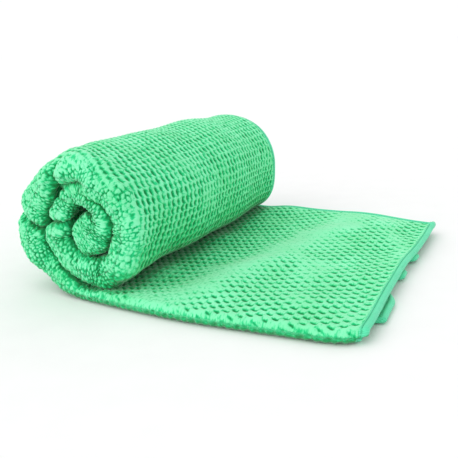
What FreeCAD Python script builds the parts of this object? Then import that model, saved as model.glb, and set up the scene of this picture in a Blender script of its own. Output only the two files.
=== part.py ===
import FreeCAD, Part
import math
import os

from FreeCAD import Vector

# Quick dry towel, folded in half lengthwise, loosely rolled from one end and left lying on its
# own unrolled outer end. Millimetres, +Z up. The roll's axis and the fold's line run along Y
# and X: the long fold is at the low Y end, the two open long edges are at the high Y end. The
# origin is at the middle of the underside of the whole part.

# Driving dimensions
FOLDED_WIDTH = 300.0        # half of the towel's 600 mm width
ROLL_RADIUS = 68.0          # outside of the roll
TAIL_REACH = 268.0          # from the roll's axis to the towel's outer end
BAND = 13.0                 # the two plies together, with the gap between them
PLY_GAP = 2.4               # air between the two plies
WRAP_GAP = 11.0             # air between one loose wrap and the next
HALF_TURNS = 5              # half circles that the band makes in the roll
HEM_WIDTH = 8.0             # binding tape, from the towel's edge inwards
TAPE = 0.6                  # thickness of the binding tape
HEM_INSET = 0.4             # how far the bound hem lies below the cloth's face
THREAD_HEIGHT = 0.3         # thread above the tape that it is sewn on
THREAD_WIDTH = 0.6          # sewing thread seen from above
SEAM_INSET = 1.8            # from the tape's inner edge to the row of stitches

# Worked out from them
PITCH = BAND + WRAP_GAP
CLOTH_OUT = BAND / 2
CLOTH_IN = PLY_GAP / 2
TAPE_OUT = CLOTH_OUT - HEM_INSET
TAPE_IN = CLOTH_IN + HEM_INSET
BOUND_OUT = TAPE_OUT - TAPE
BOUND_IN = TAPE_IN + TAPE
AXIS_X = -(TAIL_REACH - ROLL_RADIUS) / 2
TAIL_END_X = AXIS_X + TAIL_REACH
NEAR_Y = -FOLDED_WIDTH / 2
FAR_Y = FOLDED_WIDTH / 2
FOLD_Y = NEAR_Y + CLOTH_OUT


def band_heights():
    """Heights of the band's middle where it passes under and over the roll's axis, in turn."""
    low = BAND / 2
    high = 2 * ROLL_RADIUS - BAND / 2
    heights = [low]
    for turn in range(HALF_TURNS):
        inward = (turn + 1) // 2 * PITCH
        heights.append(high - inward if turn % 2 == 0 else low + inward)
    return heights


HEIGHTS = band_heights()
LAST_RADIUS = abs(HEIGHTS[-1] - HEIGHTS[-2]) / 2
HEM_ANGLE = math.degrees(HEM_WIDTH / LAST_RADIUS)


def polygon(points):
    """A flat face from (offset, y) points, drawn in the plane x = 0."""
    corners = [Vector(0, y, offset) for offset, y in points]
    return Part.Face(Part.makePolygon(corners + corners[:1]))


def folded_section(outer, inner, end_y):
    """Both plies and the fold that joins them: a U lying on its side, open at end_y."""
    def half_round(offset):
        return Part.Arc(Vector(0, FOLD_Y, offset),
                        Vector(0, FOLD_Y - abs(offset), 0),
                        Vector(0, FOLD_Y, -offset)).toShape()

    def line(start, end):
        return Part.makeLine(Vector(0, start[1], start[0]), Vector(0, end[1], end[0]))

    edges = [
        line((outer, end_y), (outer, FOLD_Y)),
        half_round(outer),
        line((-outer, FOLD_Y), (-outer, end_y)),
        line((-outer, end_y), (-inner, end_y)),
        line((-inner, end_y), (-inner, FOLD_Y)),
        half_round(-inner),
        line((inner, FOLD_Y), (inner, end_y)),
        line((inner, end_y), (outer, end_y)),
    ]
    return Part.Face(Part.Wire(edges))


def along_tail(face, start, end):
    """Run a section along the flat tail, between two distances from the towel's outer end."""
    placed = face.copy()
    placed.translate(Vector(TAIL_END_X - start, 0, HEIGHTS[0]))
    return placed.extrude(Vector(start - end, 0, 0))


def along_half_turn(face, turn, start_angle=0.0, end_angle=180.0):
    """Run a section round one half circle of the roll. Offsets count towards its middle."""
    start_z, end_z = HEIGHTS[turn], HEIGHTS[turn + 1]
    centre = Vector(AXIS_X, 0, (start_z + end_z) / 2)
    around = Vector(0, 1, 0)
    placed = face.copy()
    if turn % 2 == 1:
        placed.rotate(Vector(0, 0, 0), around, 180)
    placed.translate(Vector(AXIS_X, 0, start_z))
    placed.rotate(centre, around, start_angle)
    return placed.revolve(centre, around, end_angle - start_angle)


def along_band(face, start, end_angle):
    """Run a section from a distance along the tail to an angle on the last half circle."""
    pieces = [along_tail(face, start, TAIL_REACH)]
    for turn in range(HALF_TURNS - 1):
        pieces.append(along_half_turn(face, turn))
    pieces.append(along_half_turn(face, HALF_TURNS - 1, 0.0, end_angle))
    return pieces[0].fuse(pieces[1:]).removeSplitter()


def towel_cloth():
    """The woven sheet. It is thinner under the binding tape, on all four edges."""
    thick = folded_section(CLOTH_OUT, CLOTH_IN, FAR_Y - HEM_WIDTH)
    thin = folded_section(BOUND_OUT, BOUND_IN, FAR_Y - TAPE)
    tape_angle = math.degrees(TAPE / LAST_RADIUS)
    cloth = along_band(thick, HEM_WIDTH, 180.0 - HEM_ANGLE)
    bound = along_band(thin, TAPE, 180.0 - tape_angle)
    return cloth.fuse(bound).removeSplitter()


def outer_end_run(face, start, end):
    """A section on the outer end's hem, between two distances from the edge."""
    return along_tail(face, start, end)


def inner_end_run(face, start, end):
    """A section on the inner end's hem, between two distances from the edge."""
    angles = [180.0 - math.degrees(distance / LAST_RADIUS) for distance in (end, start)]
    return along_half_turn(face, HALF_TURNS - 1, angles[0], angles[1])


def end_tape(run, cloth):
    """Binding tape folded over one short end, through both plies' edges and the fold."""
    return run(folded_section(TAPE_OUT, TAPE_IN, FAR_Y), 0.0, HEM_WIDTH).cut(cloth)


def side_tape(side):
    """Binding tape folded over one ply's open long edge: a C, opening towards low Y."""
    inner_edge = FAR_Y - HEM_WIDTH
    profile = [(TAPE_OUT, inner_edge), (TAPE_OUT, FAR_Y), (TAPE_IN, FAR_Y), (TAPE_IN, inner_edge),
               (BOUND_IN, inner_edge), (BOUND_IN, FAR_Y - TAPE), (BOUND_OUT, FAR_Y - TAPE),
               (BOUND_OUT, inner_edge)]
    face = polygon([(side * offset, y) for offset, y in profile])
    return along_band(face, HEM_WIDTH, 180.0 - HEM_ANGLE)


def end_thread(run, low, high):
    """One thread of the row of stitches along a short end, on one face of the folded hem."""
    start = HEM_WIDTH - SEAM_INSET
    return run(folded_section(high, low, FAR_Y - TAPE), start, start + THREAD_WIDTH)


def side_thread(side, low, high):
    """One thread of the row of stitches along a long edge, on one face of the hem."""
    start = FAR_Y - HEM_WIDTH + SEAM_INSET - THREAD_WIDTH
    end = start + THREAD_WIDTH
    profile = [(low, start), (high, start), (high, end), (low, end)]
    face = polygon([(side * offset, y) for offset, y in profile])
    return along_band(face, HEM_WIDTH, 180.0 - HEM_ANGLE)


def build():
    """Every sub-part of the towel by name."""
    cloth = towel_cloth()
    threads = {
        "needle_thread": (TAPE_OUT, TAPE_OUT + THREAD_HEIGHT),
        "bobbin_thread": (TAPE_IN - THREAD_HEIGHT, TAPE_IN),
    }
    parts = {"towel_cloth": cloth}
    for name, run in (("outer_end", outer_end_run), ("inner_end", inner_end_run)):
        parts[name + "_tape"] = end_tape(run, cloth)
        for thread, (low, high) in threads.items():
            parts[name + "_" + thread] = end_thread(run, low, high)
    for name, side in (("upper_edge", 1), ("lower_edge", -1)):
        parts[name + "_tape"] = side_tape(side)
        for thread, (low, high) in threads.items():
            parts[name + "_" + thread] = side_thread(side, low, high)
    return parts


os.makedirs("parts", exist_ok=True)
for node, shape in build().items():
    shape.exportStep("parts/" + node + ".step")
    box = shape.BoundBox
    print(node, "solids", len(shape.Solids), "valid", shape.isValid(), "volume %.0f" % shape.Volume,
          "x %.1f..%.1f y %.1f..%.1f z %.1f..%.1f" % (box.XMin, box.XMax, box.YMin, box.YMax,
                                                     box.ZMin, box.ZMax))
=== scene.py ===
import math

import bpy
import numpy as np
from mathutils import Matrix, Vector


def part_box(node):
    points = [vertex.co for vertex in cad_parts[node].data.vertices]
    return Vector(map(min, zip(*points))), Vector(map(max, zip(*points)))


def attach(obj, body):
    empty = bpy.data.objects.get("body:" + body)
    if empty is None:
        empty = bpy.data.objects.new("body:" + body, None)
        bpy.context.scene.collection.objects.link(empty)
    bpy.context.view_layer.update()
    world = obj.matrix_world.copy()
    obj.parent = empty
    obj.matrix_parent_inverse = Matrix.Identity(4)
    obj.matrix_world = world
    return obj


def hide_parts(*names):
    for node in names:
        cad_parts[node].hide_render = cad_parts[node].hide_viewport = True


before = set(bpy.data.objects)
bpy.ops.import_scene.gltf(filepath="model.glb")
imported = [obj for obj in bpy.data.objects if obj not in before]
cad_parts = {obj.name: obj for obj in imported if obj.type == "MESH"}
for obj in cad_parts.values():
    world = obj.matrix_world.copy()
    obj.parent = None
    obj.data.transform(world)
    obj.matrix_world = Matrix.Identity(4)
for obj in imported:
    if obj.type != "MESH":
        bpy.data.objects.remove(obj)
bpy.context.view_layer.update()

# A quick dry towel, folded in half lengthwise, loosely rolled, its outer end lying flat.
#
# The cloth is one sheet. A point on it is named by two lengths: s, along the towel from its
# outer end, and t, across the towel from the fold, below zero on the lower ply. Lengths here are
# in millimetres, measured from the point on the floor under the roll's axis at the folded end,
# with x towards the outer end, y along the roll and z up. The frame gives that point and the
# driving sizes, and to_frame() puts finished points into the frame's own metres.

MM = 0.001
CLOTH = "towel_cloth"
SEED = 7

low, high = (np.array(corner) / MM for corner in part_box(CLOTH))
size = high - low
ROLL_R = size[2] / 2       # the roll's radius
NEAR_Y = low[1]            # the folded end, and the roll's axis, in the frame
AXIS_X = low[0] + ROLL_R
REACH = high[0] - AXIS_X   # how far the outer end lies from the roll's axis
WIDTH = size[1]            # across one ply

# Cloth
PLY = 4.4                  # thickness of one ply, pebbles included
HEM_PLY = 2.6              # the cloth where the binding presses it
HEM = 6.4                  # width of the binding tape that shows
TAIL_HALF = 6.5            # half the thickness of both plies where they lie flat
ROLL_HALF = 10.5           # the same inside the loose roll
STEP = 1.0                 # spacing of the cloth's points along the towel
COARSE = 4                 # the unseen face has one point to this many of the face that shows
WAVES = 14                 # plane waves in a ripple
NOISE_CELLS = 256          # cells each way before the weave's random numbers repeat


def smooth(x):
    """0 below 0, 1 above 1, and a smooth rise between."""
    x = np.clip(x, 0.0, 1.0)
    return x * x * (3 - 2 * x)


def ripple(rng, a, b, shortest, longest):
    """Soft random unevenness over two coordinates, about 1 high: a sum of plane waves."""
    total = np.zeros(np.broadcast(a, b).shape)
    for _ in range(WAVES):
        length = shortest * (longest / shortest) ** rng.random()
        heading, phase = 2 * math.pi * rng.random(2)
        total += np.sin(2 * math.pi / length * (a * math.cos(heading) + b * math.sin(heading)) + phase)
    return total / math.sqrt(WAVES / 2)


# ---------------------------------------------------------------- the towel's path, seen end on

# Heights of the band's middle where it crosses under and over the roll's axis, from outside in.
SLACK = 0.5                # room between one wrap and the next
CROSSINGS = [TAIL_HALF, 2 * ROLL_R - ROLL_HALF, 2 * TAIL_HALF + ROLL_HALF + SLACK]
# How far each half turn reaches sideways, and how square its lower half is: the roll settles
# under its own weight, most of all where it lies on the tail.
REACHES = [59.5, 57.5, 41.0, 31.0, 18.5]
LOWER_SQUARE = [2.0, 3.3, 2.3, 2.2, 2.0]
while len(CROSSINGS) <= len(REACHES):
    inwards = 1 if len(CROSSINGS) % 2 == 0 else -1
    CROSSINGS.append(CROSSINGS[-2] + inwards * (2 * ROLL_HALF + SLACK))
ANGLES = np.radians(np.linspace(0, 180, 361))


def half_turn(turn):
    """Points along one half turn of the roll, from under the axis to over it or back."""
    radius = abs(CROSSINGS[turn + 1] - CROSSINGS[turn]) / 2
    middle = (CROSSINGS[turn] + CROSSINGS[turn + 1]) / 2
    way = 1 if turn % 2 == 0 else -1
    up = -way * np.cos(ANGLES)
    power = np.where(up < 0, 2 / LOWER_SQUARE[turn], 1.0)
    return (-way * REACHES[turn] * np.sin(ANGLES) ** power,
            middle + radius * np.sign(up) * np.abs(up) ** power)


TURNS = [half_turn(turn) for turn in range(len(REACHES))]
ARCS = [np.concatenate([[0.0], np.cumsum(np.hypot(np.diff(x), np.diff(z)))]) for x, z in TURNS]
TURN_S = REACH + np.concatenate([[0.0], np.cumsum([arc[-1] for arc in ARCS])])
LENGTH = TURN_S[-1]


def station(turn, degrees):
    """The distance s at an angle on one half turn of the roll."""
    return TURN_S[turn] + np.interp(math.radians(degrees), ANGLES, ARCS[turn])


def even_path(s):
    """Middle of the band at s, well inside the roll: a straight tail, then the half turns."""
    stops = [np.array([0.0])] + [start + arc[1:] for start, arc in zip(TURN_S, ARCS)]
    xs = [np.array([REACH])] + [x[1:] for x, z in TURNS]
    zs = [np.array([CROSSINGS[0]])] + [z[1:] for x, z in TURNS]
    stops.insert(1, np.array([REACH]))
    xs.insert(1, np.array([0.0]))
    zs.insert(1, np.array([CROSSINGS[0]]))
    stops = np.concatenate(stops)
    return np.interp(s, stops, np.concatenate(xs)), np.interp(s, stops, np.concatenate(zs))


# The folded end is puffy and uneven. Each row: where on the path, then x, z and half the
# thickness of the folded band there.
FOLDED_END = [
    (-1, 267, 0, 6.4, 6.4),
    (-1, 120, 148, 6.5, 6.5),
    (-1, 45, 223, 6.5, 6.5),
    (-1, 25, 243, 6.3, 6.3),
    (0, 0, 2, 6.4, 6.3),
    (0, 20, -20, 12.5, 11),
    (0, 45, -41, 26.5, 15.5),
    (0, 68, -54.5, 43, 17.5),
    (0, 90, -59.5, 60, 19.5),
    (0, 110, -56, 79, 19),
    (0, 130, -46, 95, 18),
    (0, 150, -31, 107, 16),
    (0, 168, -13, 115, 19),
    (1, 8, 8, 115, 20),
    (1, 35, 26, 109, 19),
    (1, 62, 42, 98, 16.5),
    (1, 90, 52.5, 76, 14.5),
    (1, 112, 51.5, 56, 14.5),
    (1, 135, 44, 38, 15.5),
    (1, 157, 30, 29, 15.5),
    (2, 0, 14, 27, 15.5),
    (2, 30, -5, 32, 13.5),
    (2, 55, -18, 43.5, 12.5),
    (2, 78, -26, 58, 13),
    (2, 100, -21, 74, 12.5),
    (2, 125, -15, 86, 12),
    (2, 150, -6, 95, 10.5),
    (3, 0, 6, 96, 8),
    (3, 35, 18, 94, 6.5),
    (3, 70, 27, 87, 7),
    (3, 110, 28, 75.5, 13),
    (3, 150, 23, 68.5, 18.5),
    (4, 20, 16.5, 62.5, 21),
    (4, 75, 7.5, 57, 19),
    (4, 120, 1, 53, 16),
    (4, 180, -3, 50, 10),
]

# How far back from its even line the fold lies, where the towel is flat: x, then the distance.
FOLD_BOWS = [(0, -2), (25, -4.5), (60, -7), (125, -8.5), (165, -6), (215, -2), (240, 0.5),
             (252, 3.5), (260, 8), (268, 14)]


def folded_path(s):
    """Middle and half thickness of the band at s, at the folded end: a curve through its rows."""
    stops, points = [], []
    for turn, where, x, z, half in FOLDED_END:
        stops.append(REACH - where if turn < 0 else station(turn, where))
        points.append((REACH - x if turn < 0 else x, z, half))
    return [through(np.array(stops), np.array(column), s) for column in zip(*points)]


def through(stops, values, at):
    """A smooth curve through values at stops, with no overshoot worth the name."""
    slope = np.gradient(values, stops)
    i = np.clip(np.searchsorted(stops, at) - 1, 0, len(stops) - 2)
    gap = stops[i + 1] - stops[i]
    f = (at - stops[i]) / gap
    return ((2 * f**3 - 3 * f**2 + 1) * values[i] + (f**3 - 2 * f**2 + f) * gap * slope[i]
            + (3 * f**2 - 2 * f**3) * values[i + 1] + (f**3 - f**2) * gap * slope[i + 1])


# ---------------------------------------------------------------- the sheet's middle surface

PUFF_DEPTH = 75.0          # how far the folded end's uneven shape reaches into the roll
OPEN_HALF = 9.5            # half the band's thickness at the roll's open end
OPEN_DEPTH = 60.0
SHOULDER = 14.0            # the open end's outer edge is rounded over this depth
FATTER = 0.02              # the roll is this much fuller halfway along
ALONG = int(LENGTH / STEP / COARSE) * COARSE + 1
NEAR_SHARE, NEAR_POINTS, FAR_POINTS = 0.15, 56, 212     # across one ply: closer near the fold
FOLD_ROUND = 0.75          # the fold is rounded over this share of the band's half thickness,
FOLD_POWER = 2.3           # and this is the power of its rounded shape (2 is an ellipse)
CORE_BACK = 22.0           # the inner end lies this far back from the folded end

S = np.linspace(0.0, LENGTH, ALONG)
one_side = np.concatenate([np.linspace(0, NEAR_SHARE, NEAR_POINTS + 1),
                           np.linspace(NEAR_SHARE, 1, FAR_POINTS + 1)[1:]])
SIDE = np.concatenate([-one_side[:0:-1], one_side])


def band_shape(s):
    """Half thickness of the band inside the roll at s: thin on the tail, puffy in the roll."""
    return TAIL_HALF + (ROLL_HALF - TAIL_HALF) * smooth((s - REACH + 20) / 120)


def fold_profile(near_half, deep_half, far_half, front):
    """Depth from the folded end, and half thickness, at points along one ply of the band."""
    round_depth = FOLD_ROUND * near_half
    corner = np.linspace(0, math.pi / 2, 20)
    depth = np.concatenate([round_depth * (1 - np.cos(corner)),
                            np.linspace(round_depth, WIDTH - front, 70)[1:]])
    puff = 1 - smooth(depth / PUFF_DEPTH)
    opening = smooth((depth - WIDTH + OPEN_DEPTH) / OPEN_DEPTH)
    half = deep_half + (near_half - deep_half) * puff + (far_half - deep_half) * opening
    inside = np.clip(1 - depth / round_depth, 0, 1)
    half = (half - PLY / 2) * (1 - inside**FOLD_POWER) ** (1 / FOLD_POWER)
    length = np.concatenate([[0.0], np.cumsum(np.hypot(np.diff(depth), np.diff(half)))])
    return depth, half, length


def middle_surface():
    """The sheet's middle: arrays of x, y, z and t over the grid of S and SIDE. The fold bows and
    wavers (front), and so do the open edges (ragged)."""
    x_even, z_even = even_path(S)
    x_fold, z_fold, half_fold = folded_path(S)
    half_even = band_shape(S)
    half_open = np.where(S < REACH, TAIL_HALF, OPEN_HALF)
    rolled = smooth((S - REACH) / 60)
    rng = np.random.default_rng(SEED)
    bow_x, bow = (np.array(column, float) for column in zip(*FOLD_BOWS))
    front = np.where(S < REACH, through(bow_x, bow, np.clip(REACH - S, 0, None)),
                     -2 * (1 - smooth((S - REACH) / 40)))
    front = front + rolled * (2.5 + 1.5 * ripple(rng, S, 0 * S, 70, 200))
    front = front + CORE_BACK * smooth((S - LENGTH + 26) / 22)
    ragged = -3.5 + rolled * (5.0 + 1.5 * ripple(rng, S, 0 * S, 50, 160))
    share = np.abs(SIDE)
    depth = np.empty((len(S), len(SIDE)))
    half, t = np.empty_like(depth), np.empty_like(depth)
    for i in range(len(S)):
        d, h, length = fold_profile(half_fold[i], half_even[i], half_open[i], front[i] + ragged[i])
        along = share * length[-1]
        depth[i] = front[i] + np.interp(along, length, d)
        half[i] = np.interp(along, length, h)
        t[i] = np.sign(SIDE) * along
    sway = 1 - smooth((depth - 6) / (PUFF_DEPTH - 6))
    x = x_even[:, None] + sway * (x_fold - x_even)[:, None]
    z = z_even[:, None] + sway * (z_fold - z_even)[:, None]
    dx, dz = np.gradient(x, S, axis=0), np.gradient(z, S, axis=0)
    run = np.hypot(dx, dz)
    offset = np.sign(SIDE) * half
    x, z = x + offset * dz / run, z - offset * dx / run
    shoulder = smooth((depth - WIDTH + SHOULDER) / SHOULDER) ** 3
    fuller = 1 + rolled[:, None] * (FATTER * np.sin(math.pi * np.clip(depth / WIDTH, 0, 1))
                                    - 0.02 * shoulder)
    return x * fuller, depth, z * fuller, t


def outward(x, y, z):
    """Unit normals of a surface over the grid, towards the towel's outside."""
    place = np.stack([x, y, z], -1)
    across = np.gradient(place, axis=1)
    along = np.gradient(place, axis=0)
    normal = np.cross(across, along)
    return normal / np.maximum(np.linalg.norm(normal, axis=-1, keepdims=True), 1e-9)


def crease(s, t, route, depth, width, step):
    """How far the cloth is pushed outwards around a fold line: in at the line, and out a little
    on both sides. The route is a list of (s, t, share of the depth). The cloth on the left of the
    route stands proud by step, and settles back."""
    nearest, share, left = np.full(s.shape, 1e9), np.zeros(s.shape), np.zeros(s.shape)
    for (s0, t0, f0), (s1, t1, f1) in zip(route, route[1:]):
        ds, dt = s1 - s0, t1 - t0
        f = np.clip(((s - s0) * ds + (t - t0) * dt) / (ds * ds + dt * dt), 0, 1)
        gap = np.hypot(s - s0 - f * ds, t - t0 - f * dt)
        closer = gap < nearest
        nearest = np.where(closer, gap, nearest)
        share = np.where(closer, f0 + f * (f1 - f0), share)
        left = np.where(closer, np.sign((s1 - s0) * (t - t0) - (t1 - t0) * (s - s0)), left)
    valley = np.exp(-((nearest / width) ** 1.3))
    swell = 0.15 * np.exp(-(((nearest - 2.6 * width) / (1.6 * width)) ** 2))
    raised = step * smooth(nearest * left / width) * np.exp(-((nearest / 16) ** 2))
    return share * (depth * (swell - valley) + raised)


# Fold lines at the folded end: a route of (turn, degrees, t, share of the depth), then the
# depth, the half width and the step.
CREASES = [
    ([(0, 116, -40, 0.0), (0, 109, -24, 1), (0, 101, 0, 1), (0, 92, 24, 0.8)], 9.0, 3.6, -3.0),
    ([(0, 150, 26, 1), (0, 158, 10, 1), (0, 166, -12, 0.7), (0, 170, -26, 0.0)], 9.0, 4.2, 0.0),
    ([(0, 157, 12, 1), (0, 176, 7, 1), (1, 14, 4, 0.8), (1, 34, 4, 0.0)], 10.0, 3.8, 0.0),
    ([(0, 154, 16, 1), (0, 160, 11, 1)], 12.0, 6.5, 0.0),
    ([(2, 84, -26, 1), (2, 92, -6, 1), (2, 100, 8, 1), (2, 112, 26, 0.6)], 9.0, 3.8, 2.0),
    ([(2, 128, -20, 0.8), (2, 136, -4, 0.8), (2, 150, 4, 0.2)], 4.5, 2.8, 0.0),
    ([(1, 168, -26, 0.0), (2, 4, -14, 0.8), (2, 22, -12, 0.2)], 4.0, 3.0, 0.0),
]


def unevenness(t):
    """How far each point is pushed outwards: fold lines, puckers and soft waves."""
    s = np.broadcast_to(S[:, None], t.shape)
    rng = np.random.default_rng(SEED + 1)
    push = np.zeros(t.shape)
    for route, depth, width, step in CREASES:
        line = [(station(turn, where), across, share) for turn, where, across, share in route]
        push += crease(s, t, line, depth, width, step)
    near = 1 - smooth((np.abs(t) - 15) / 70)
    rolled = smooth((s - REACH) / 60)
    push += near * rolled * 0.7 * ripple(rng, s, t, 22, 60)
    push += rolled * 0.9 * ripple(rng, s, t, 60, 170)
    return push


def tail_waves(x, y):
    """Rise of the flat tail's upper ply: a shallow dip beside the roll, then a long low crest,
    both slanting across the towel, and a puffed-up far edge."""
    lean = 0.96 * x - 0.28 * y
    rng = np.random.default_rng(SEED + 2)
    crest = 3.2 * np.exp(-(((lean - 104) / 34) ** 2)) - 2.4 * np.exp(-(((lean - 56) / 20) ** 2))
    puffed = 5.5 * smooth((y - 190) / 100) * (1 - 0.8 * smooth((x - 195) / 50))
    return smooth((WIDTH - 5 - y) / 25) * crest + puffed + 0.7 * ripple(rng, x, y, 45, 110)


# The outer end's hem, seen from above: y, then how far it stands out.
HEM_LINE = [(0, 2), (30, 2), (70, -0.5), (115, -3), (165, -5), (215, -3.5), (255, -4), (300, -5.5)]
LOWER_RECESS = 15.0        # how far short the lower ply stops, under the upper one
# Where the lower ply ruffles out again: y where it starts, is full, begins to fade and ends,
# how far it reaches, and its rise.
RUFFLES = [(43, 50, 84, 132, 20.0, 1.5), (137, 146, 157, 169, 17.0, 2.5),
           (189, 197, 206, 220, 16.0, 3.0)]


def lay_tail(x, y, z, t):
    """Shapes the flat tail: waves in the upper ply and a ruffled, shorter lower ply."""
    upper = t > 0
    on_tail = 1 - smooth((S[:, None] - REACH + 45) / 30)
    inland = smooth(y / 40)
    held = 0.35 + 0.65 * smooth(S[:, None] / 30)
    z = z + np.where(upper, on_tail * inland * held * tail_waves(x, y), 0)
    line_y, line = (np.array(column, float) for column in zip(*HEM_LINE))
    x = x + (1 - smooth(S[:, None] / 90)) * through(line_y, line, np.clip(y, 0, 300))
    shorter = LOWER_RECESS * smooth(y / 34)
    lift = 0.0
    for start, full, fading, gone, reach, rise in RUFFLES:
        hump = smooth((y - start) / (full - start)) * (1 - smooth((y - fading) / (gone - fading)))
        shorter = shorter - reach * hump
        lift = lift + rise * hump
    free = (1 - smooth(S[:, None] / 45)) * np.where(upper, 0, 1)
    return x - free * shorter, y, z + free * lift


x, y, z, T_OF = middle_surface()
x, y, z = lay_tail(x, y, z, T_OF)
normal = outward(x, y, z)
PUSH = unevenness(T_OF)
x, y, z = (p + PUSH * normal[..., i] for i, p in enumerate((x, y, z)))
MIDDLE = np.stack([x, y, z], -1)
NORMAL = outward(x, y, z)


# ---------------------------------------------------------------- the woven relief

PIT_DEPTH, PIT_LONG, PIT_STRAY = 1.7, 2.9, 0.8    # a pit's depth, half length and jitter
WIDE_FLAT, WIDE_ROLL = 1.15, 1.4    # its half width, and that on the roll's outer face
GROOVE_WIDE = 1.2          # half width of the grooves that join the pits from row to row
ROW_TAIL, ROW_ROLL = 7.2, 6.4       # spacing of the rows of pits, along the towel
PITCH_FLAT, PITCH_ROLL = 10.3, 7.0  # spacing of the pits in a row, and on the roll's outer face
STAGGER = 0.3              # each row starts this share of a pit further on
HEM_CLEAR = 5.6            # the weave starts this far in from the cloth's edge
BUNCHED = 13.0             # nearer the rolled fold than this, the weave is bunched into pebbles
PEBBLE = (4.3, 3.9)        # their spacing along and across the towel
SLANT = 0.48               # how steeply a pit runs across its row, but for the roll's outer face
LEAN = 0.1                 # the upper ply's rows start further on, away from the fold
LOWER_SHIFT = 500.0        # the lower ply takes its pits from a far part of the same lattice


def pebbles(s, t):
    """Height and pit of bunched weave: rounded, uneven pebbles with broken grooves between, and in the
    pit value those grooves are painted shade.
    """
    rng = np.random.default_rng(SEED + 4)
    slide, slip, tall, open_line = rng.random((4, NOISE_CELLS, NOISE_CELLS))
    row, column = s / PEBBLE[0], t / PEBBLE[1] + 1000
    nearest, second = np.full(s.shape, 9.0), np.full(s.shape, 9.0)
    height = np.zeros(s.shape)
    for i in (-1, 0, 1):
        for j in (-1, 0, 1):
            cell_row = np.floor(row) + i
            cell_column = np.floor(column - 0.5 * (cell_row % 2)) + j
            cell = cell_row.astype(int) % NOISE_CELLS, cell_column.astype(int) % NOISE_CELLS
            gap = np.hypot(
                row - cell_row - 0.5 - 0.8 * (slide[cell] - 0.5),
                column - 0.5 * (cell_row % 2) - cell_column - 0.5 - 0.8 * (slip[cell] - 0.5))
            closer = gap < nearest
            second = np.where(closer, nearest, np.minimum(second, gap))
            height = np.where(closer, tall[cell], height)
            nearest = np.where(closer, gap, nearest)
    here = tuple(np.floor(at * 0.9).astype(int) % NOISE_CELLS for at in (row, column))
    line = np.exp(-((second - nearest) / 0.3) ** 1.5) * (0.25 + 0.95 * open_line[here])
    return 0.25 + 0.7 * height - 1.3 * nearest**2 - 1.2 * line, line


def pits(row, row_pitch, across, pit_pitch, half_wide, slant, seed):
    """How far inside a pit each point is, from 0 to about 1.7, on a lattice of rows that start
    ever further on. row counts rows, and across is in mm. A wider dip lies round each pit, and
    grooves swing from one row's pits to the next row's."""
    row_number = np.floor(row)
    column = across / pit_pitch + STAGGER * row_number
    column_number = np.floor(column)
    rng = np.random.default_rng(seed)
    cell = row_number.astype(int) % NOISE_CELLS, column_number.astype(int) % NOISE_CELLS
    deep, slide, slip = (rng.random((NOISE_CELLS, NOISE_CELLS))[cell] for _ in range(3))
    along = (row - row_number - 0.5) * row_pitch + PIT_STRAY * (slide - 0.5)
    beside = (column - column_number - 0.5) * pit_pitch + PIT_STRAY * (slip - 0.5) - slant * along
    shape = np.exp(-(np.abs(beside) / half_wide) ** 2.2) * np.exp(-(np.abs(along) / PIT_LONG) ** 3)
    around = np.exp(-(beside / 2.8 / half_wide) ** 2) * np.exp(-(along / 1.3 / PIT_LONG) ** 4)
    swing = (slant * row_pitch + STAGGER * pit_pitch) / (2 * math.pi)
    wave = across + STAGGER * pit_pitch * (row - 0.5) - swing * np.sin(2 * math.pi * (row - 0.5))
    gap = wave - (np.floor(wave / pit_pitch) + 0.5) * pit_pitch
    groove = slant / SLANT * np.exp(-(gap / GROOVE_WIDE) ** 2)
    return shape * (0.65 + 0.5 * deep) + 0.2 * around + 0.35 * groove


def weave(s, t):
    """The weave's relief at (s, t): its height, and how far inside a pit, from -0.14 on the pebbles to
    about 1.7.
    The second value is painted shade for the material: deeper green in the pits and the lines between
    pebbles, and paler over the pebbles as a painted highlight. The lower ply's face is turned outwards
    on the roll, where its pits are closer, wider and upright, and near the fold they give way to
    pebbles."""
    pitch = ROW_TAIL + (ROW_ROLL - ROW_TAIL) * smooth((S - 60) / 120)
    leaning = LEAN * np.clip(t, 0, 90) * smooth(s / 120) * (1 - smooth((s - REACH + 30) / 40))
    row = np.interp(s - leaning, S, np.concatenate([[0.0], np.cumsum(np.diff(S) / pitch[1:])]))
    turned = smooth((s - REACH + 30) / 40) * (t < 0)
    pit_pitch = PITCH_FLAT + (PITCH_ROLL - PITCH_FLAT) * turned
    half_wide = WIDE_FLAT + (WIDE_ROLL - WIDE_FLAT) * turned
    narrowed = 0.4 + 0.6 * smooth(np.abs(t) / 9)
    open_pit = pits(row, np.interp(s, S, pitch), np.abs(t) + LOWER_SHIFT * (t < 0), pit_pitch,
                    half_wide * narrowed, SLANT * (1 - turned), SEED + 3)
    pebble_height, line = pebbles(s, t)
    rolled = smooth((s - REACH + 60) / 60)
    inside = BUNCHED + 4 * ripple(np.random.default_rng(SEED + 6), s, t, 16, 60) - np.abs(t)
    open_share = 1 - rolled * smooth((inside + 5) / 8)
    pebble_share = rolled * smooth((inside + 8) / 9)
    edge = (1 - rolled) * np.exp(-(t / 4) ** 2)
    open_pit = open_pit * open_share * (1 - 0.7 * edge) * (1 - 0.5 * rolled * np.exp(-(t / 20) ** 4))
    return ((0.25 + 0.3 * edge) * open_share * np.cos(2 * math.pi * row) - PIT_DEPTH * open_pit
            + pebble_share * pebble_height,
            np.maximum(open_pit, pebble_share * line) - 0.14 * pebble_share)


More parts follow.
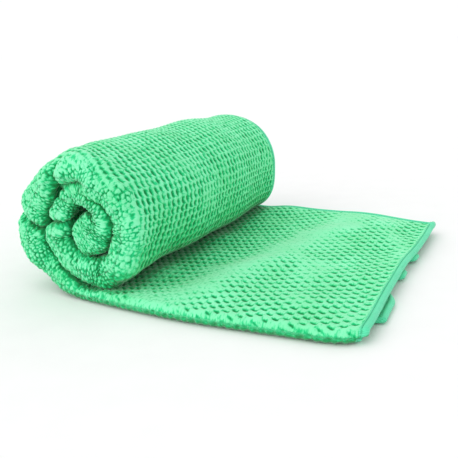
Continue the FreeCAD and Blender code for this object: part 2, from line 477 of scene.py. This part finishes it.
def weave_fade_and_painted_highlight(s, t):
    """How strongly the weave shows (0.12 to 1), in relief and in the pit layer's painted shade: it
    fades in soft patches, and most of all along the flat part's crest, where the cloth comes out paler
    as a painted highlight."""
    rng = np.random.default_rng(SEED + 5)
    patches = smooth((ripple(rng, s, t, 45, 130) - 0.5) / 1.0)
    lean = 0.96 * (REACH - s) - 0.28 * t
    # Along the crest the pit shade fades, so the cloth is paler there: a painted highlight.
    crest = np.exp(-(((lean - 84) / 26) ** 2)) * smooth((REACH - s) / 40)
    flat = 1 - smooth((s - REACH) / 60)
    return 1 - np.clip(0.5 * patches * (0.3 + 0.7 * flat) + 0.85 * crest * (t > 0), 0, 0.88)


# Each point's distance from the sheet's nearest edge, the cloth's half thickness there, which the
# binding presses thinner, and how strongly the weave shows, in relief and in its painted pit shade.
S_OF = np.broadcast_to(S[:, None], T_OF.shape)
edge_gap = np.minimum(np.minimum(S_OF, LENGTH - S_OF), T_OF[:, -1:] - np.abs(T_OF))
thick = HEM_PLY / 2 + (PLY - HEM_PLY) / 2 * smooth((edge_gap - 3.5) / 5)
relief, pit = weave(S_OF, T_OF)
shown = smooth((edge_gap - HEM_CLEAR) / 4) * weave_fade_and_painted_highlight(S_OF, T_OF)
relief, pit = relief * shown, pit * shown


def to_frame(points):
    """Points in this script's millimetres, as metres in the frame."""
    return (points + np.array([AXIS_X, NEAR_Y, 0.0])) * MM


# ---------------------------------------------------------------- meshes

def mesh_piece(name, points, *polygons):
    """A new smooth-shaded piece from points in mm, and arrays of polygons of one size each."""
    mesh = bpy.data.meshes.new(name)
    points = to_frame(points)
    loops = np.concatenate([p.ravel() for p in polygons]).astype(np.int32)
    sizes = np.concatenate([np.full(len(p), p.shape[1]) for p in polygons])
    starts = np.concatenate([[0], np.cumsum(sizes)[:-1]]).astype(np.int32)
    mesh.vertices.add(len(points))
    mesh.vertices.foreach_set("co", points.astype(np.float32).ravel())
    mesh.loops.add(len(loops))
    mesh.loops.foreach_set("vertex_index", loops)
    mesh.polygons.add(len(sizes))
    mesh.polygons.foreach_set("loop_start", starts)
    mesh.update(calc_edges=True)
    mesh.shade_smooth()
    piece = bpy.data.objects.new(name, mesh)
    bpy.context.scene.collection.objects.link(piece)
    return piece


def note(piece, name, values):
    """Keeps a number, or a vector of three, for each of a piece's points, for its material."""
    kind, field = ("FLOAT", "value") if values.ndim == 1 else ("FLOAT_VECTOR", "vector")
    layer = piece.data.attributes.new(name, kind, "POINT")
    layer.data.foreach_set(field, values.astype(np.float32).ravel())


def quads(index, flip=False):
    """Four-sided faces over a grid of point numbers."""
    a, b, c, d = index[:-1, :-1], index[:-1, 1:], index[1:, 1:], index[1:, :-1]
    faces = np.stack([a, d, c, b] if flip else [a, b, c, d], -1)
    return faces.reshape(-1, 4)


def rim(fine, coarse, flip):
    """Faces that join a line of points to a line with COARSE times fewer."""
    steps = np.arange(COARSE + 1)
    first = np.arange(len(coarse) - 1)
    outer = fine[first[:, None] * COARSE + steps]
    if flip:
        outer = outer[:, ::-1]
        inner = np.stack([coarse[:-1], coarse[1:]], -1)
    else:
        inner = np.stack([coarse[1:], coarse[:-1]], -1)
    return np.concatenate([outer, inner], 1)


PLIES_APART = 40.0         # keeps the two plies apart where the material's noise reads them
PLAIN_PIT = 0.3            # the material's pit value on the plain side


def make_cloth():
    """The towel itself: a closed sheet, woven outside, plain on the side turned inwards."""
    outer = MIDDLE + NORMAL * (thick + relief)[..., None]
    inner = (MIDDLE - NORMAL * thick[..., None])[::COARSE, ::COARSE]
    outer[..., 2] = np.maximum(outer[..., 2], 0.05)
    inner[..., 2] = np.maximum(inner[..., 2], 0.1)
    fine = np.arange(outer[..., 0].size).reshape(outer.shape[:2])
    coarse = fine.size + np.arange(inner[..., 0].size).reshape(inner.shape[:2])
    rims = np.concatenate([rim(fine[:, 0], coarse[:, 0], False), rim(fine[:, -1], coarse[:, -1], True),
                           rim(fine[0], coarse[0], True), rim(fine[-1], coarse[-1], False)])
    points = np.concatenate([outer.reshape(-1, 3), inner.reshape(-1, 3)])
    piece = mesh_piece("towel", points, quads(fine), quads(coarse, flip=True), rims)
    # The pit layer is painted shade: it darkens the green in pits and between pebbles and pales it
    # over the pebbles as a painted highlight. The plain side gets one value throughout.
    note(piece, "pit", np.concatenate([pit.ravel(), np.full(coarse.size, PLAIN_PIT)]))
    place = np.stack([S_OF, np.abs(T_OF), np.sign(T_OF) * PLIES_APART], -1) * MM
    note(piece, "on_sheet", np.concatenate([grid.reshape(-1, 3)
                                            for grid in (place, place[::COARSE, ::COARSE])]))
    return piece


def on_cloth(s, t, lift):
    """Points above the sheet's middle surface at (s, t), also a little way past its edges."""
    s, t, lift = np.broadcast_arrays(s, t, lift)
    i = s / LENGTH * (len(S) - 1)
    share = t / np.interp(s, S, T_OF[:, -1])
    inside = np.clip(share, -1, 1)
    j = np.interp(inside, SIDE, np.arange(len(SIDE))) + (share - inside) / (SIDE[1] - SIDE[0])
    i0 = np.clip(np.floor(i).astype(int), 0, len(S) - 2)
    j0 = np.clip(np.floor(j).astype(int), 0, len(SIDE) - 2)
    fi, fj = (i - i0)[..., None], (j - j0)[..., None]

    def between(grid):
        return ((1 - fi) * ((1 - fj) * grid[i0, j0] + fj * grid[i0, j0 + 1])
                + fi * ((1 - fj) * grid[i0 + 1, j0] + fj * grid[i0 + 1, j0 + 1]))

    normal = between(NORMAL)
    normal = normal / np.linalg.norm(normal, axis=-1, keepdims=True)
    return between(MIDDLE) + normal * lift[..., None]


# ---------------------------------------------------------------- binding tape and stitches

SEAM = 4.9                 # the stitching's distance from the towel's edge
# Half of the tape's section: distance in from the towel's edge, and lift over the pressed
# cloth's face. It is flat over the hem, dips at the stitching and turns round the edge.
TAPE_FACE = [(HEM, -0.2), (HEM - 0.1, 0.5), (HEM - 0.5, 0.9), (5.6, 0.8), (5.3, 0.55), (SEAM, 0.35),
             (4.5, 0.6), (4.0, 1.0), (3.2, 1.3), (2.4, 1.4), (1.6, 1.3), (0.8, 0.95), (0.1, 0.3),
             (-0.4, -0.5)]
TAPE_EDGE = (-0.65, 0.0)
TAPE_STEP = 1.5            # spacing of the tape's sections along it
STITCH, STITCH_GAP = 2.7, 0.6
THREAD_R = 0.32


def binding_line(edge, a, along):
    """(s, t) at distance a in from one edge of the towel, and along it (0 to 1)."""
    if edge.endswith("end"):
        s = a if edge == "outer_end" else LENGTH - a
        end = np.interp(s, S, T_OF[:, -1])
        return s + 0 * along, (2 * along - 1) * (end - 0.4)
    s = 0.8 + along * (LENGTH - 1.6)
    end = np.interp(s, S, T_OF[:, -1])
    return s, (end - a) * (1 if edge == "upper_edge" else -1)


def make_tape(edge):
    """A binding tape folded over one edge of the towel, as a closed strip. At the corners the
    end's tape goes over the long edge's."""
    is_end = edge.endswith("end")
    steps = int((2 * WIDTH if is_end else LENGTH) / TAPE_STEP)
    along = np.linspace(0, 1, steps)[:, None]
    hem = HEM_PLY / 2
    section = ([(a, hem + up) for a, up in TAPE_FACE] + [TAPE_EDGE]
               + [(a, -hem - up) for a, up in TAPE_FACE[::-1]]
               + [(HEM - 1, -hem + 0.3), (2.0, -hem + 0.3), (2.0, hem - 0.3), (HEM - 1, hem - 0.3)])
    a, lift = (np.array(column)[None, :] for column in zip(*section))
    rng = np.random.default_rng(SEED + 4)
    sway = 0.25 * ripple(rng, along * steps * TAPE_STEP, 0 * along, 12, 40)
    s, t = binding_line(edge, a + np.where(a > SEAM, sway, 0), along)
    corner = np.minimum(along, 1 - along) * steps * TAPE_STEP
    over = 0.9 * (1 - smooth((corner - HEM) / 3)) if is_end else 0 * corner
    points = on_cloth(s, t, lift + np.sign(lift) * over * (np.abs(lift) > hem))
    shape = points.shape[:2]
    ring = np.arange(points[..., 0].size).reshape(shape)
    closed = np.concatenate([ring, ring[:, :1]], 1)
    caps = np.stack([ring[0, ::-1], ring[-1]])
    turn = edge in ("outer_end", "lower_edge")
    faces = [quads(closed, flip=turn), caps[:, ::-1] if turn else caps]
    points[..., 2] = np.maximum(points[..., 2], 0.05)
    piece = mesh_piece(edge + "_binding", points.reshape(-1, 3), *faces)
    length = np.broadcast_to(along * steps * TAPE_STEP, shape)
    inwards = np.broadcast_to(a, shape)
    place = np.stack([length, inwards, 0 * length], -1) * MM
    note(piece, "on_tape", place.reshape(-1, 3))
    return piece


def make_stitches(edge, face):
    """One row of stitches in the tape: short rounded lengths of thread, closed at both ends."""
    span = 2 * WIDTH if edge.endswith("end") else LENGTH
    pitch = STITCH + STITCH_GAP
    count = int((span - 2 * HEM) / pitch)
    first = HEM + (np.arange(count) + 0.5) * (span - 2 * HEM) / count
    rings = 7
    reach = np.linspace(-1, 1, rings)
    fat = np.sqrt(1 - (0.97 * reach) ** 4)
    along = (first[:, None] + reach * STITCH / 2) / span
    s, t = binding_line(edge, SEAM, along)
    up = HEM_PLY / 2 + 0.55 + 0.3 * (1 - reach**2)
    centre = on_cloth(s, t, face * up)
    above = on_cloth(s, t, face * (up + 1)) - centre
    way = np.gradient(centre, axis=1)
    way = way / np.linalg.norm(way, axis=-1, keepdims=True)
    beside = np.cross(way, above)
    turns = np.linspace(0, 2 * math.pi, 8, endpoint=False)
    ring = (np.cos(turns)[:, None] * beside[:, :, None] + np.sin(turns)[:, None] * above[:, :, None])
    points = centre[:, :, None] + THREAD_R * fat[:, None, None] * ring
    points[..., 2] = np.maximum(points[..., 2], 0.04)
    index = np.arange(points[..., 0].size).reshape(points.shape[:3])
    sides = np.concatenate([index, index[..., :1]], 2)
    a, b = sides[:, :-1, :-1], sides[:, :-1, 1:]
    c, d = sides[:, 1:, 1:], sides[:, 1:, :-1]
    walls = np.stack([a, b, c, d], -1).reshape(-1, 4)
    caps = np.concatenate([index[:, 0, ::-1], index[:, -1]])
    name = edge + ("_needle_stitches" if face > 0 else "_bobbin_stitches")
    return mesh_piece(name, points.reshape(-1, 3), walls, caps)


# ---------------------------------------------------------------- materials

class Nodes:
    """A small helper for building a material's nodes."""

    def __init__(self, name, **shader):
        self.material = bpy.data.materials.new(name)
        self.material.use_nodes = True
        self.tree = self.material.node_tree
        self.shader = self.tree.nodes["Principled BSDF"]
        for socket, value in shader.items():
            self.shader.inputs[socket.replace("_", " ")].default_value = value

    def add(self, kind, inputs=None, **settings):
        """A node with its settings, and inputs given as values or as other nodes' outputs."""
        node = self.tree.nodes.new("ShaderNode" + kind)
        for name, value in settings.items():
            setattr(node, name, value)
        for name, value in (inputs or {}).items():
            if isinstance(value, bpy.types.NodeSocket):
                self.tree.links.new(value, node.inputs[name])
            else:
                node.inputs[name].default_value = value
        return node

    def layer(self, name):
        """A number or vector kept on the mesh."""
        return self.add("Attribute", attribute_name=name)

    def noise(self, where, scale, detail=2.0, stretch=None):
        """Noise over a vector, stretched where asked."""
        if stretch:
            where = self.add("Mapping", {"Vector": where, "Scale": stretch}).outputs[0]
        return self.add("TexNoise", {"Vector": where, "Scale": scale, "Detail": detail}).outputs["Fac"]

    def math(self, operation, a, b):
        """a and b put through one operation."""
        return self.add("Math", {0: a, 1: b}, operation=operation).outputs[0]

    def ramp(self, value, stops):
        """Colours at points between 0 and 1."""
        node = self.add("ValToRGB", {"Fac": value})
        elements = node.color_ramp.elements
        while len(elements) < len(stops):
            elements.new(0.5)
        for element, (place, colour) in zip(elements, stops):
            element.position, element.color = place, (*colour, 1)
        return node.outputs["Color"]

    def mix(self, factor, a, b, blend="MIX"):
        """Colour a with b mixed in."""
        node = self.add("Mix", data_type="RGBA", blend_type=blend)
        for socket, value in zip((node.inputs[0], node.inputs[6], node.inputs[7]), (factor, a, b)):
            if isinstance(value, bpy.types.NodeSocket):
                self.tree.links.new(value, socket)
            else:
                socket.default_value = value
        return node.outputs[2]

    def finish(self, colour, roughness, height, bump, reach):
        """Joins colour, roughness and bump to the shader."""
        self.tree.links.new(colour, self.shader.inputs["Base Color"])
        self.tree.links.new(roughness, self.shader.inputs["Roughness"])
        node = self.add("Bump", {"Height": height, "Strength": bump, "Distance": reach})
        self.tree.links.new(node.outputs["Normal"], self.shader.inputs["Normal"])
        return self.material


def cloth_material():
    """Brushed microfibre in a coarse honeycomb weave. The colour carries painted shade: the pit layer
    makes pits and the lines between pebbles a deeper green and the pebbles paler (painted highlight),
    and ambient occlusion paints crevices and sheltered places a deeper green too."""
    made = Nodes("green_microfibre", Sheen_Weight=0.6, Sheen_Roughness=0.45,
                 Sheen_Tint=(0.74, 1.0, 0.80, 1), Specular_IOR_Level=0.12)
    place = made.layer("on_sheet").outputs["Vector"]
    # The pit layer: painted shade in pits and between pebbles, painted highlight over the pebbles.
    painted_pit_shade_and_highlight = made.layer("pit").outputs["Fac"]
    fibre = made.noise(place, 480, 4.0, stretch=(1.0, 0.6, 1.0))
    yarn = made.noise(place, 420, 2.0, stretch=(0.5, 1.5, 1.0))
    patch = made.noise(place, 26, 2.0)
    # Painted shade: ambient occlusion over 14 mm and over 70 mm darkens the green in crevices and
    # sheltered places.
    painted_crevice_shade = made.add("AmbientOcclusion", {"Distance": 0.014}, samples=8).outputs["AO"]
    deep = made.math("ADD", painted_pit_shade_and_highlight, made.math("MULTIPLY", made.math("SUBTRACT", fibre, 0.43), 2.5))
    deep = made.math("ADD", deep, made.math("MULTIPLY", made.math("SUBTRACT", 0.75, painted_crevice_shade), 1.2))
    painted_sheltered_shade = made.add("AmbientOcclusion", {"Distance": 0.07}, samples=6).outputs["AO"]
    deep = made.math("ADD", deep, made.math("MULTIPLY", made.math("SUBTRACT", 0.87, painted_sheltered_shade), 1.0))
    # The ramp turns the pit layer, the fibre noise and the painted shade into the cloth's green.
    weave_colour_with_painted_shade = made.ramp(deep, [(0.0, (0.23, 0.90, 0.47)), (0.2, (0.06, 0.75, 0.295)),
                                    (0.45, (0.003, 0.65, 0.215)), (0.75, (0.0, 0.50, 0.15)),
                                    (1.0, (0.0, 0.28, 0.07))])
    tone = made.ramp(patch, [(0.3, (0.88, 0.93, 0.90)), (0.7, (1.15, 1.02, 1.12))])
    colour = made.mix(1.0, weave_colour_with_painted_shade, tone, "MULTIPLY")
    colour = made.mix(made.math("MULTIPLY", yarn, 0.12), colour, (0.15, 0.72, 0.34, 1))
    roughness = made.math("ADD", made.math("MULTIPLY", fibre, 0.2), 0.72)
    height = made.math("ADD", made.math("MULTIPLY", fibre, 0.6), made.math("MULTIPLY", yarn, 0.8))
    return made.finish(colour, roughness, height, 0.75, 0.0007)


def tape_material():
    """Smooth ribbed binding tape, a little bluer and shinier than the cloth."""
    made = Nodes("green_binding_tape", Sheen_Weight=0.15, Specular_IOR_Level=0.35)
    place = made.layer("on_tape").outputs["Vector"]
    ribs = made.add("TexWave", {"Vector": place, "Scale": 330.0, "Distortion": 0.6, "Detail": 1.0},
                    wave_type="BANDS", bands_direction="X").outputs["Fac"]
    grain = made.noise(place, 900, 2.0, stretch=(1.0, 0.4, 1.0))
    patch = made.noise(place, 40, 2.0)
    shade = made.math("ADD", made.math("MULTIPLY", ribs, 0.35), made.math("MULTIPLY", patch, 0.6))
    colour = made.ramp(shade, [(0.2, (0.04, 0.66, 0.32)), (0.75, (0.15, 0.87, 0.51))])
    colour = made.mix(made.math("MULTIPLY", grain, 0.15), colour, (0.15, 0.75, 0.45, 1))
    roughness = made.math("ADD", made.math("MULTIPLY", grain, 0.2), 0.42)
    height = made.math("ADD", ribs, made.math("MULTIPLY", grain, 0.5))
    return made.finish(colour, roughness, height, 0.5, 0.0003)


def thread_material():
    """Twisted sewing thread in the tape's own green."""
    made = Nodes("green_sewing_thread", Specular_IOR_Level=0.4)
    place = made.add("TexCoord").outputs["Object"]
    twist = made.noise(place, 1800, 1.0, stretch=(1.0, 0.5, 1.0))
    patch = made.noise(place, 60, 1.0)
    shade = made.math("ADD", made.math("MULTIPLY", twist, 0.6), made.math("MULTIPLY", patch, 0.4))
    colour = made.ramp(shade, [(0.3, (0.02, 0.42, 0.2)), (0.7, (0.08, 0.64, 0.35))])
    roughness = made.math("ADD", made.math("MULTIPLY", twist, 0.2), 0.35)
    return made.finish(colour, roughness, twist, 0.6, 0.0002)


# ---------------------------------------------------------------- pieces

towel = make_cloth()
towel.data.materials.append(cloth_material())
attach(towel, "root")
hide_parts(CLOTH)

tape_look, thread_look = tape_material(), thread_material()
for edge in ("outer_end", "inner_end", "upper_edge", "lower_edge"):
    parts = [(make_tape(edge), "_tape", "binding_tape", tape_look),
             (make_stitches(edge, 1), "_needle_thread", "sewing_thread", thread_look),
             (make_stitches(edge, -1), "_bobbin_thread", "sewing_thread", thread_look)]
    for piece, ending, slot, look in parts:
        piece.data.materials.append(look)
        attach(piece, "root")
        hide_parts(edge + ending)


# ---------------------------------------------------------------- floor, light and camera

def make_floor():
    """A plain pale floor, just under the towel."""
    reach, z = 30.0, -0.0004
    mesh = bpy.data.meshes.new("floor")
    mesh.from_pydata([(-reach, -reach, z), (reach, -reach, z), (reach, reach, z), (-reach, reach, z)],
                     [], [(0, 1, 2, 3)])
    floor = bpy.data.objects.new("floor", mesh)
    bpy.context.scene.collection.objects.link(floor)
    made = Nodes("pale_floor", Specular_IOR_Level=0.1)
    grain = made.noise(made.add("TexCoord").outputs["Object"], 30, 3.0)
    colour = made.ramp(grain, [(0.0, (0.90, 0.90, 0.90)), (1.0, (0.94, 0.94, 0.94))])
    roughness = made.math("ADD", made.math("MULTIPLY", grain, 0.1), 0.85)
    floor.data.materials.append(made.finish(colour, roughness, grain, 0.05, 0.0005))


def soft_sun(name, towards, spread, power):
    """Even light from one side of the studio, as soft as its spread in degrees."""
    data = bpy.data.lights.new(name, "SUN")
    data.angle, data.energy = math.radians(spread), power
    lamp = bpy.data.objects.new(name, data)
    lamp.rotation_euler = Vector(towards).to_track_quat("-Z", "Y").to_euler()
    bpy.context.scene.collection.objects.link(lamp)


def set_camera():
    """The photograph's viewing angle."""
    place, target = Vector((0.2924, -0.558, 0.2237)), Vector((0.0144, -0.064, 0.0544))
    lean = -0.056
    ahead = (target - place).normalized()
    side = ahead.cross(Vector((0, 0, 1))).normalized()
    up = side.cross(ahead)
    right = side * math.cos(lean) + up * math.sin(lean)
    up = right.cross(ahead)
    data = bpy.data.cameras.new("camera")
    data.lens, data.sensor_width = 49.4, 36.0
    data.clip_start, data.clip_end = 0.01, 100.0
    camera = bpy.data.objects.new("camera", data)
    turn = Matrix((right, up, -ahead)).transposed()
    camera.matrix_world = Matrix.Translation(place) @ turn.to_4x4()
    bpy.context.scene.collection.objects.link(camera)
    bpy.context.scene.camera = camera


def make_studio():
    """White all round, a little brighter where the camera sees it than as a light."""
    as_light, as_seen = 0.90, 1.02
    world = bpy.data.worlds.new("studio")
    world.use_nodes = True
    nodes, links = world.node_tree.nodes, world.node_tree.links
    backdrop = nodes["Background"]
    backdrop.inputs["Color"].default_value = (1, 1, 1, 1)
    strength = nodes.new("ShaderNodeMapRange")
    strength.inputs["To Min"].default_value = as_light
    strength.inputs["To Max"].default_value = as_seen
    seen = nodes.new("ShaderNodeLightPath").outputs["Is Camera Ray"]
    links.new(seen, strength.inputs["Value"])
    links.new(strength.outputs[0], backdrop.inputs["Strength"])
    bpy.context.scene.world = world


make_floor()
make_studio()
soft_sun("key", (0.3, 0.4, -1.0), 60, 0.55)
soft_sun("front", (0.35, 1.0, -0.3), 60, 0.56)
set_camera()
bpy.context.scene.view_settings.view_transform = "Standard"
